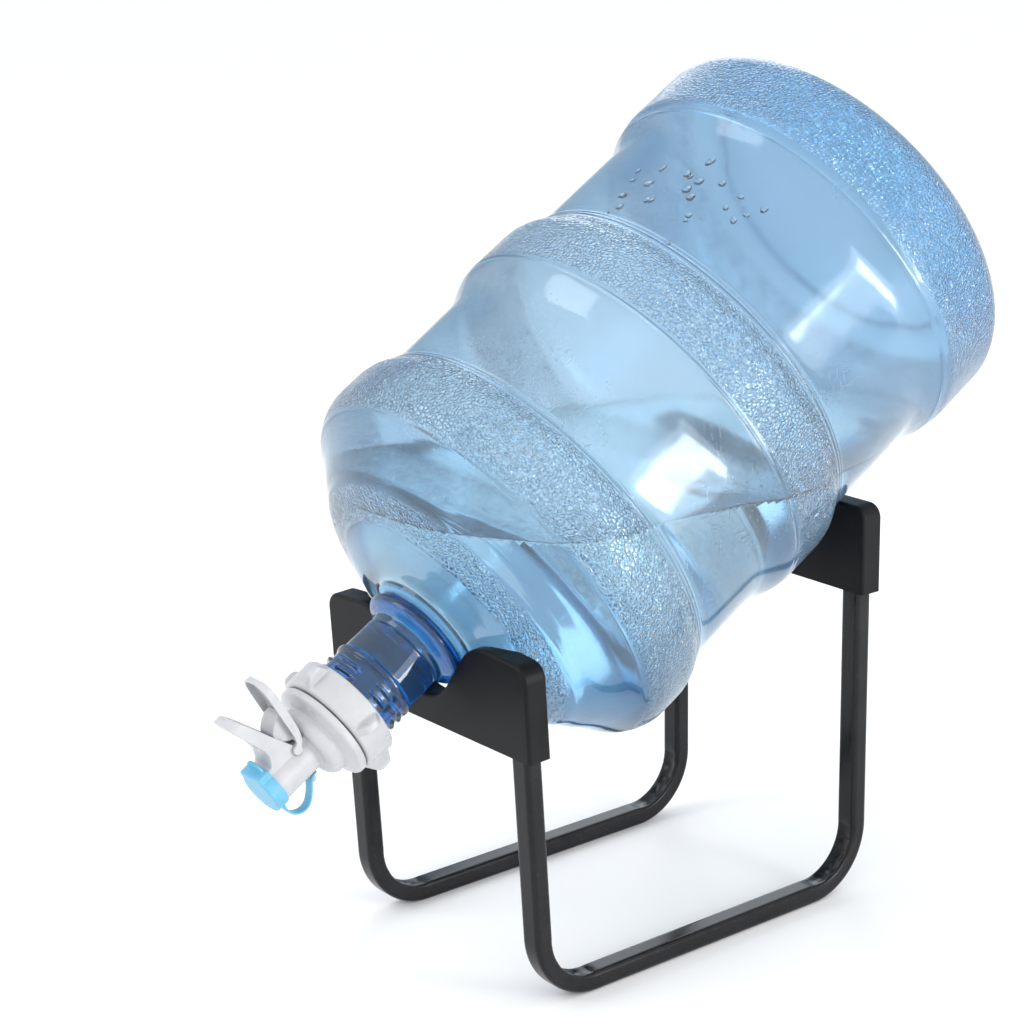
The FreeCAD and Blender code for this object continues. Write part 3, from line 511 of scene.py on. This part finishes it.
# the blown wall isn't perfectly round: a few tenths of a millimetre of slow waves inside the nominal form
drop = 0.16 * (1 + np.sin(3 * TH + S / 41.0)) + 0.12 * (1 + np.sin(5 * TH - S / 23.0 + 1.1))
R = R - drop * smoothstep(20.0, 60.0, S) * smoothstep(410.0, 380.0, S)
jug_co = world(R * np.cos(TH), R * np.sin(TH), -S + 0 * TH).reshape(-1, 3)
pole_a, pole_b = world(0, 0, -prof[0, 0]), world(0, 0, -prof[-1, 0])
nr = len(prof_rows)
co = np.vstack([jug_co, pole_a[None], pole_b[None]])
fan_a = np.stack([np.full(N, nr * N), np.arange(N), (np.arange(N) + 1) % N], -1)
base = (nr - 1) * N
fan_b = np.stack([np.full(N, nr * N + 1), base + (np.arange(N) + 1) % N, base + np.arange(N)], -1)
me = make_mesh("jug_bottle", co, ring_faces(nr, N)[:, ::-1], np.vstack([fan_a, fan_b]))
outward(me)
s_all = np.r_[np.repeat(prof_rows[:, 0], N), prof[0, 0], prof[-1, 0]]
r_all = np.r_[np.repeat(prof_rows[:, 1], N), 0, 0]
o_all = np.r_[np.repeat(out_rows, N), 0, 1]


def zone(v, a, b, soft):
    return smoothstep(a - soft, a + soft, v) * smoothstep(b + soft, b - soft, v)


pebble = np.maximum.reduce([
    zone(r_all, 75.0, 93.0, 0.8) * (s_all < 40.0),
    zone(s_all, 60.0, 104.0, 1.2),
    zone(s_all, 194.0, 237.0, 1.2),
    zone(s_all, 344.0, 402.0, 1.2) * (r_all > 110.0),
]) * o_all
me.attributes.new("pebble", "FLOAT", "POINT").data.foreach_set("value", pebble.astype(np.float32))
smooth_wall = (1 - pebble) * o_all * smoothstep(40.0, 60.0, s_all) * (r_all > 100)
z_all = 210.8 + SN * s_all + CS * r_all * np.r_[np.tile(np.sin(theta), nr), 0, 0]
mist = (1 - o_all) * smoothstep(WATER_Z - 1.0, WATER_Z + 6.0, z_all) + 0.12 * (1 - o_all) * smoothstep(WATER_Z + 2.0, WATER_Z - 2.0, z_all) * smoothstep(14.0, 40.0, s_all)
me.attributes.new("mist", "FLOAT", "POINT").data.foreach_set("value", mist.astype(np.float32))
me.attributes.new("smooth_wall", "FLOAT", "POINT").data.foreach_set("value", smooth_wall.astype(np.float32))
deep = smoothstep(13.0, 6.0, s_all) + 0.55 * smoothstep(330.0, 362.0, s_all) + 0.25 * zone(s_all, 14.0, 60.0, 8.0)
me.attributes.new("deep", "FLOAT", "POINT").data.foreach_set("value", np.clip(deep, 0, 1).astype(np.float32))
jug = add_object("jug_bottle", me, M_JUG)
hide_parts("jug_shell")
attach(jug, "jug")


def water_mesh():
    q = thinned(offset(inner_curve, -0.12)[5:], lambda q: np.where(q[:, 0] < 14.0, 2.0, 4.0), 10.0)
    q[0, 0] = -65.6
    n = 288
    th = np.arange(n)[None, :] * 2 * math.pi / n
    rows = q[:-1]
    d = 0.16 * (1 + np.sin(3 * th + rows[:, :1] / 41.0)) + 0.12 * (1 + np.sin(5 * th - rows[:, :1] / 23.0 + 1.1))
    r = rows[:, 1:2] - d * smoothstep(20.0, 60.0, rows[:, :1]) * smoothstep(410.0, 380.0, rows[:, :1])
    c = world(r * np.cos(th), r * np.sin(th), -rows[:, :1] + 0 * th).reshape(-1, 3)
    m = len(rows)
    c = np.vstack([c, world(0, 0, -q[0, 0])[None], world(0, 0, -q[-1, 0])[None]])
    a = np.stack([np.full(n, m * n), (np.arange(n) + 1) % n, np.arange(n)], -1)
    b0 = (m - 1) * n
    b = np.stack([np.full(n, m * n + 1), b0 + np.arange(n), b0 + (np.arange(n) + 1) % n], -1)
    me = make_mesh("water_body", c, ring_faces(m, n), np.vstack([a, b]))
    bm = bmesh.new()
    bm.from_mesh(me)
    z = (WATER_Z + 1.0) / 1000
    cut = bmesh.ops.bisect_plane(bm, geom=bm.verts[:] + bm.edges[:] + bm.faces[:], dist=1e-7, plane_co=(0, 0, z), plane_no=(0, 0, 1), clear_outer=True)
    rim = [e for e in cut["geom_cut"] if isinstance(e, bmesh.types.BMEdge)]
    fill = bmesh.ops.contextual_create(bm, geom=rim)["faces"]
    # the surface climbs a little at the wall
    cap = fill[0]
    sink = 0.0
    for width, fall in ((0.35, 0.45), (0.5, 0.3), (0.8, 0.18), (1.2, 0.07)):
        ring = bmesh.ops.inset_region(bm, faces=[cap], thickness=width / 1000, use_even_offset=False, use_boundary=True)["faces"]
        for v in cap.verts:
            v.co.z -= fall / 1000
        for f in ring:
            f.smooth = True
    cap.smooth = False
    bmesh.ops.recalc_face_normals(bm, faces=bm.faces)
    bmesh.ops.triangulate(bm, faces=[f for f in bm.faces if len(f.verts) > 4])
    bm.to_mesh(me)
    bm.free()
    return outward(me)


water = add_object("water_body", water_mesh(), M_WATER)
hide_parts("water")
tuple(world(0, 0, 40.0))
tuple(world(0, 0, 62.0))
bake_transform(water)


def droplets():
    """Drops of condensed water on the inner wall, above the surface: flat domes of different sizes, some run together."""
    rng = np.random.default_rng(7)
    cos_, quads, tris = [], [], []
    count = 0
    along = inner_curve[:, 0]
    n, m = 12, 4
    th = np.arange(n) * 2 * math.pi / n
    placed = 0
    while placed < 38:
        big = rng.random() < 0.45
        if big:
            s0, t0 = rng.normal(296, 24), rng.normal(math.radians(74), 0.26)
        else:
            s0, t0 = rng.uniform(110, 388), rng.uniform(0, 2 * math.pi)
        if not 60 < s0 < 392:
            continue
        r0 = float(np.interp(s0, along[: int(len(along) * 0.8)], inner_curve[: int(len(along) * 0.8), 1]))
        d = 0.16 * (1 + math.sin(3 * t0 + s0 / 41.0)) + 0.12 * (1 + math.sin(5 * t0 - s0 / 23.0 + 1.1))
        r0 -= d
        z = Z0 + SN * s0 + CS * r0 * math.sin(t0)
        if z < WATER_Z + 8:
            continue
        size = (1.9 if big else 0.7) + (1.2 if big else 0.9) * rng.random() ** 1.4
        stretch = 1 + 0.35 * rng.random()
        lean = rng.uniform(-0.4, 0.4)
        rows = []
        for i in range(m):
            f = math.cos(math.pi / 2 * i / m)
            h = 0.14 * size * math.sin(math.pi / 2 * i / m) - 0.03
            wob = 1 + 0.10 * np.sin(2 * th + placed) + 0.06 * np.sin(3 * th - placed)
            a = size * stretch * f * wob * np.cos(th)
            b = size * f * wob * np.sin(th)
            ss = s0 + a * math.cos(lean) - b * math.sin(lean)
            tt = t0 + (a * math.sin(lean) + b * math.cos(lean)) / r0
            rows.append(np.stack([(r0 - h) * np.cos(tt), (r0 - h) * np.sin(tt), -ss], -1))
        tip = np.array([(r0 - 0.14 * size + 0.03) * math.cos(t0), (r0 - 0.14 * size + 0.03) * math.sin(t0), -s0])
        foot = np.array([(r0 + 0.03) * math.cos(t0), (r0 + 0.03) * math.sin(t0), -s0])
        pts = np.vstack(rows + [tip[None], foot[None]])
        cos_.append(world(pts[:, 0], pts[:, 1], pts[:, 2]))
        quads.append(ring_faces(m, n) + count)
        k = np.arange(n)
        last = (m - 1) * n
        tris.append(np.stack([last + k, last + (k + 1) % n, np.full(n, m * n)], -1) + count)
        tris.append(np.stack([(k + 1) % n, k, np.full(n, m * n + 1)], -1) + count)
        count += m * n + 2
        placed += 1
    return outward(make_mesh("inner_droplets", np.vstack(cos_), np.vstack(quads), np.vstack(tris)))


drops = add_object("inner_droplets", droplets(), M_DROP)
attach(drops, "jug")


# ------------------------------------------------------------------ side frames
def tube_frame(name, x0):
    lf, lr = math.radians(2.6), math.radians(0.5)
    rad, zr, leg_y = 39.0, 6.0, 128.6
    top_f, top_r = 206.9, 247.9
    tf = rad * math.tan((math.pi / 2 - lf) / 2)
    tr = rad * math.tan((math.pi / 2 - lr) / 2)
    pts = []  # y, z, inward normal y, z, place within a bend 0..1 or -1

    def leg(sign, lean, t, top):
        dy, dz = sign * math.sin(lean), math.cos(lean)
        sy, sz = sign * leg_y + dy * t, zr + dz * t
        length = (top - sz) / dz
        return [(sy + dy * d, sz + dz * d, -sign * dz, sign * dy, -1.0) for d in np.r_[np.linspace(length, 12, 14), 5.0]]

    def bend(sign, lean, y_t):
        out = []
        full = math.pi / 2 - lean
        for i in range(0, 49):
            a = full * (1 - i / 48)
            cy, cz = y_t, zr + rad
            out.append((cy + sign * rad * math.sin(a), cz - rad * math.cos(a), -sign * math.sin(a), math.cos(a), 1 - i / 48))
        return out

    y_f, y_r = -leg_y + tf, leg_y - tr
    pts += leg(-1, lf, tf, top_f)
    pts += bend(-1, lf, y_f)
    pts += [(y, zr, 0.0, 1.0, -1.0) for y in np.linspace(y_f + 5, y_r - 5, 26)]
    pts += bend(1, lr, y_r)[::-1]
    pts += leg(1, lr, tr, top_r)[::-1]
    pts = np.array(pts)

    def section(w, t, r):
        """Points round a rounded rectangle: (x, inward)."""
        a, b = w / 2, t / 2
        out = []
        for sx, sy, a0 in ((1, 1, 0), (-1, 1, 90), (-1, -1, 180), (1, -1, 270)):
            for i in range(7):
                g = math.radians(a0 + 15 * i)
                out.append((sx * (a - r) + r * math.cos(g), sy * (b - r) + r * math.sin(g)))
            nx = {(1, 1): (-1, 1), (-1, 1): (-1, -1), (-1, -1): (1, -1), (1, -1): (1, 1)}[(sx, sy)]
            g = math.radians(a0 + 90)
            p0 = np.array(out[-1])
            p1 = np.array((nx[0] * (a - r) + r * math.cos(g), nx[1] * (b - r) + r * math.sin(g)))
            for f in np.linspace(0, 1, 9)[1:-1]:
                out.append(tuple(p0 + (p1 - p0) * f))
        return np.array(out)

    def swept(sec):
        m = len(sec)
        xs, bs = sec[:, 0], sec[:, 1]
        rows = []
        for y, z, ny, nz, place in pts:
            b = bs.copy()
            x = xs.copy()
            if place >= 0:
                g = math.sin(math.pi * place) ** 0.7 if 0 < place < 1 else 0.0
                inner = smoothstep(0.0, 6.0, bs)
                mid = np.cos(np.clip(np.abs(xs) / 7.5, 0, 1) * math.pi / 2) ** 1.4
                pucker = 1 + 0.22 * math.cos(place * 5 * 2 * math.pi)
                b = b - inner * (0.5 * g + 2.5 * g * pucker * mid)
                side = smoothstep(5.0, 7.5, np.abs(xs)) * smoothstep(6.5, 1.0, np.abs(bs))
                x = x - np.sign(xs) * 0.35 * g * side
            rows.append(np.stack([x0 + x, y + 15.51 + ny * b, z + nz * b], -1))
        return np.array(rows) / 1000

    so = section(15.0, 12.0, 3.0)
    si = section(12.6, 9.6, 1.8)
    m = len(so)
    A, B = swept(so), swept(si)
    n = len(pts)
    co = np.vstack([A.reshape(-1, 3), B.reshape(-1, 3)])
    qa = ring_faces(n, m)
    qb = ring_faces(n, m)[:, ::-1] + n * m
    j = np.arange(m)
    e0 = np.stack([j, n * m + j, n * m + (j + 1) % m, (j + 1) % m], -1)
    last = (n - 1) * m
    e1 = np.stack([last + j, last + (j + 1) % m, n * m + last + (j + 1) % m, n * m + last + j], -1)
    me = make_mesh(name, co, np.vstack([qa, qb, e0, e1]))
    return outward(me)


for node, x0 in (("side_frame_left", -84.0), ("side_frame_right", 84.0)):
    o = add_object(node + "_tube", tube_frame(node + "_tube", x0), M_PAINT)
    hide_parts(node)
    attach(o, "stand")


# ------------------------------------------------------------------ carried-over pieces
def give(node, mat):
    o = NODES[node]
    o.data.materials.clear()
    o.data.materials.append(mat)


for node, mat in (("front_cradle", M_CRADLE), ("rear_cradle", M_CRADLE), ("neck_gasket", M_SEAL), ("inlet_plate", M_WHITE),
                  ("spring_retainer", M_WHITE), ("plunger", M_WHITE), ("plunger_seal", M_SEAL)):
    give(node, mat)


# ------------------------------------------------------------------ the return spring, its wire welded into one mesh
def spring_wire():
    bm = bmesh.new()
    bm.from_mesh(NODES["return_spring"].data)
    bm.transform(NODES["return_spring"].matrix_world)
    bmesh.ops.remove_doubles(bm, verts=bm.verts, dist=1e-6)
    me = bpy.data.meshes.new("return_spring_wire")
    bm.to_mesh(me)
    bm.free()
    me.polygons.foreach_set("use_smooth", np.ones(len(me.polygons), bool))
    return me


SPRING_FROM, SPRING_TO, TRAVEL = 38.0, 64.6, 3.7
spring = add_object("return_spring_wire", spring_wire(), M_STEEL)
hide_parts("return_spring")
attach(spring, "valve")
tuple(world(0, 0, SPRING_TO) - world(0, 0, SPRING_FROM))
tuple(world(0, 0, SPRING_FROM))
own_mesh(spring)


# ------------------------------------------------------------------ moulded pieces with soft edges
def moulded(node, name, voxel, passes, keep, mat, body=None):
    """The piece with the small radii that a mould gives: remeshed finely, relaxed, then thinned out on its flat faces."""
    bm = bmesh.new()
    bm.from_mesh(NODES[node].data)
    bmesh.ops.remove_doubles(bm, verts=bm.verts, dist=2e-6)
    me = bpy.data.meshes.new(name)
    bm.to_mesh(me)
    bm.free()
    o = add_object(name, me)
    r = o.modifiers.new("r", "REMESH")
    r.mode = "VOXEL"
    r.voxel_size = voxel / 1000
    r.use_smooth_shade = True
    s = o.modifiers.new("s", "SMOOTH")
    s.factor = 0.5
    s.iterations = passes
    d = o.modifiers.new("d", "DECIMATE")
    d.ratio = keep
    dg = bpy.context.evaluated_depsgraph_get()
    done = bpy.data.meshes.new_from_object(o.evaluated_get(dg))
    o.modifiers.clear()
    o.data = done
    done.name = name
    done.polygons.foreach_set("use_smooth", np.ones(len(done.polygons), bool))
    done.materials.clear()
    done.materials.append(mat)
    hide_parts(node)
    if body:
        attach(o, body)
    return o


moulded("collar_nut", "nut_moulded", 0.42, 4, 0.35, M_WHITE, "nut")
moulded("valve_body", "valve_body_moulded", 0.36, 3, 0.35, M_WHITE, "valve")
moulded("trigger_lever", "trigger_moulded", 0.26, 3, 0.35, M_WHITE, "trigger")
moulded("dust_cap", "cap_moulded", 0.25, 3, 0.35, M_BLUE, "cap")
strap = moulded("cap_strap", "strap_moulded", 0.22, 3, 0.5, M_BLUE)
tuple(world(0, 0, 101.0))
tuple(world(0, 0, 120.5))
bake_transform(strap)

# ------------------------------------------------------------------ floor, light, camera
n = 128
ang = np.arange(n) * 2 * math.pi / n
rings = [0.6, 2.0, 6.0, 16.0]
co = [(0, 0, 0)] + [(r * math.cos(a), r * math.sin(a), 0) for r in rings for a in ang]
faces3 = [(0, 1 + i, 1 + (i + 1) % n) for i in range(n)]
faces4 = [(1 + k * n + i, 1 + (k + 1) * n + i, 1 + (k + 1) * n + (i + 1) % n, 1 + k * n + (i + 1) % n) for k in range(len(rings) - 1) for i in range(n)]
floor = add_object("floor", make_mesh("floor", np.array(co), np.array(faces4), np.array(faces3), False), floor_material())

w = bpy.data.worlds.new("studio")
scene.world = w
w.use_nodes = True
nt = w.node_tree
t = Tree(nt)
gen = t.node("ShaderNodeTexCoord").outputs["Generated"]
sep = t.node("ShaderNodeSeparateXYZ")
t.link(gen, sep.inputs[0])
up = t.remap(sep.outputs["Z"], 0.0, 0.7, 0.0, 1.0)
# a grey flag stands behind the set, low over the floor
dot = t.node("ShaderNodeVectorMath", operation="DOT_PRODUCT")
t.link(gen, dot.inputs[0])
dot.inputs[1].default_value = (-0.741, 0.579, 0.340)
flag = t.node("ShaderNodeMapRange", interpolation_type="SMOOTHSTEP")
for i, x in enumerate((0.74, 0.93, 0.0, 1.0)):
    flag.inputs[i + 1].default_value = x
t.link(dot.outputs["Value"], flag.inputs[0])
sky = t.mix(up, (1.0, 1.0, 1.0), (1.0, 1.01, 1.02))
# the flag works on the light only; the backdrop itself stays plain
lit = t.math("SUBTRACT", 1.0, t.node("ShaderNodeLightPath").outputs["Is Camera Ray"])
t.link(t.mix(t.math("MULTIPLY", flag.outputs[0], lit), sky, (0.47, 0.61, 0.74)), nt.nodes["Background"].inputs["Color"])
nt.nodes["Background"].inputs["Strength"].default_value = 1.12


def softbox(name, at, to, size, power, tint=(1, 1, 1)):
    light = bpy.data.lights.new(name, "AREA")
    light.shape = "RECTANGLE"
    light.size, light.size_y = size
    light.energy = power
    light.color = tint
    o = bpy.data.objects.new(name, light)
    scene.collection.objects.link(o)
    o.location = at
    o.rotation_mode = "QUATERNION"
    o.rotation_quaternion = (Vector(to) - Vector(at)).to_track_quat("-Z", "Y")
    o.visible_camera = False
    return o


softbox("key_left", (-0.6, -1.5, 1.5), (0, 0, 0.25), (1.0, 1.4), 11.0)
softbox("rim_back", (-1.3, 1.2, 1.2), (0, 0, 0.3), (0.6, 1.6), 5.0)
softbox("side_wide", (1.75, 0.62, 0.50), (0, 0.05, 0.28), (1.0, 1.3), 9.0)
softbox("side_core", (1.72, 0.60, 0.50), (0, 0.05, 0.28), (0.36, 1.0), 10.0)

cam = bpy.data.cameras.new("camera")
cam.sensor_width = 36.0
cam.lens = 88.89
cam.clip_start, cam.clip_end = 0.05, 60.0
camera = bpy.data.objects.new("camera", cam)
scene.collection.objects.link(camera)
a, e, r = math.radians(52.02), math.radians(16.26), math.radians(1.41)
back = Vector((math.sin(a) * math.cos(e), -math.cos(a) * math.cos(e), math.sin(e)))
right = Vector((math.cos(a), math.sin(a), 0))
up = back.cross(right)
right2 = math.cos(r) * right - math.sin(r) * up
up2 = math.sin(r) * right + math.cos(r) * up
camera.matrix_world = Matrix(((right2.x, up2.x, back.x, 1.13868), (right2.y, up2.y, back.y, -0.94953), (right2.z, up2.z, back.z, 0.69503), (0, 0, 0, 1)))
scene.camera = camera
scene.view_settings.view_transform = "Standard"
scene.view_settings.look = "None"
scene.view_settings.exposure = 0.0
